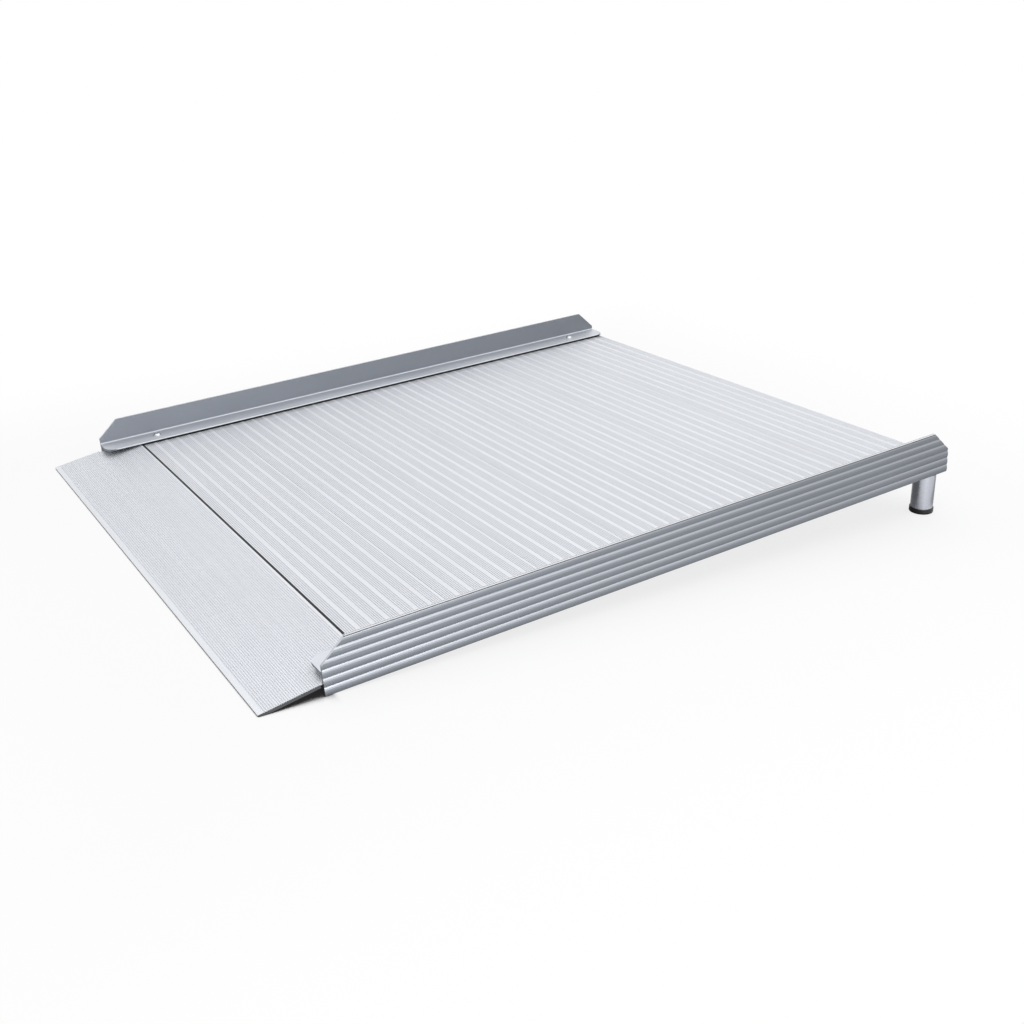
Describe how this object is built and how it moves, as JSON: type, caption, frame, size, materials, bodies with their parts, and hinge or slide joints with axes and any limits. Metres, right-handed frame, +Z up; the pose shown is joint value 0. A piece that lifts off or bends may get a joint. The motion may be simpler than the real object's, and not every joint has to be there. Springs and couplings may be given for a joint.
{
  "type": "wheelchair ramp",
  "caption": "Low aluminium ramp with a grooved deck of hooked planks between ribbed kerb rails, a hinged approach flap and screw-adjusted rear legs.",
  "frame": {"origin": "on the floor, under the middle of the ramp's bounding box", "axes": "+Z up, +Y up the slope from the flap to the rear edge, +X across the ramp"},
  "size_m": [0.7, 0.8072, 0.0967],
  "materials": {
    "deck_aluminium": "satin anodised, finely grooved",
    "rail_aluminium": "satin anodised, fine lengthwise grain",
    "leg_aluminium": "satin anodised tube",
    "stainless_steel": "bright button-head screws",
    "zinc_steel": "zinc-plated steel",
    "rubber": "matt black rubber"
  },
  "bodies": {
    "deck": {"plank_1": "deck_aluminium", "plank_2": "deck_aluminium", "plank_3": "deck_aluminium", "plank_4": "deck_aluminium", "plank_5": "deck_aluminium", "plank_6": "deck_aluminium", "plank_7": "deck_aluminium", "left_rail": "rail_aluminium", "right_rail": "rail_aluminium", "rail_screws": "stainless_steel", "nut_bars": "zinc_steel", "left_leg_block": "rail_aluminium", "right_leg_block": "rail_aluminium", "left_stud": "zinc_steel", "right_stud": "zinc_steel", "taper_washers": "zinc_steel", "clamp_nuts": "zinc_steel"},
    "flap": {"approach_flap": "deck_aluminium", "floor_strip": "rubber"},
    "left_foot": {"left_foot_cap": "rubber"},
    "left_leg": {"left_leg_tube": "leg_aluminium", "left_insert": "zinc_steel"},
    "right_foot": {"right_foot_cap": "rubber"},
    "right_leg": {"right_leg_tube": "leg_aluminium", "right_insert": "zinc_steel"}
  },
  "joints": [
    {"name": "flap_hinge", "type": "hinge", "parent": "deck", "child": "flap", "pos_m": [0, -0.30246, 0.01628], "axis": [1, 0, 0], "range_deg": [-7.5, 35]},
    {"name": "left_foot_slide", "type": "slide", "parent": "deck", "child": "left_foot", "axis": [0, 0, -1], "range_m": [0, 0.01951]},
    {"name": "left_leg_turn", "type": "hinge", "parent": "left_foot", "child": "left_leg", "pos_m": [-0.3356, 0.38463, 0.02], "axis": [0, 0, -1], "range_deg": [0, 4680]},
    {"name": "right_foot_slide", "type": "slide", "parent": "deck", "child": "right_foot", "axis": [0, 0, -1], "range_m": [0, 0.01951]},
    {"name": "right_leg_turn", "type": "hinge", "parent": "right_foot", "child": "right_leg", "pos_m": [0.3356, 0.38463, 0.02], "axis": [0, 0, -1], "range_deg": [0, 4680]}
  ],
  "couplings": [
    {"joint": "left_foot_slide", "follows": "left_leg_turn", "m_per_rad": 0.00023873},
    {"joint": "right_foot_slide", "follows": "right_leg_turn", "m_per_rad": 0.00023873}
  ]
}
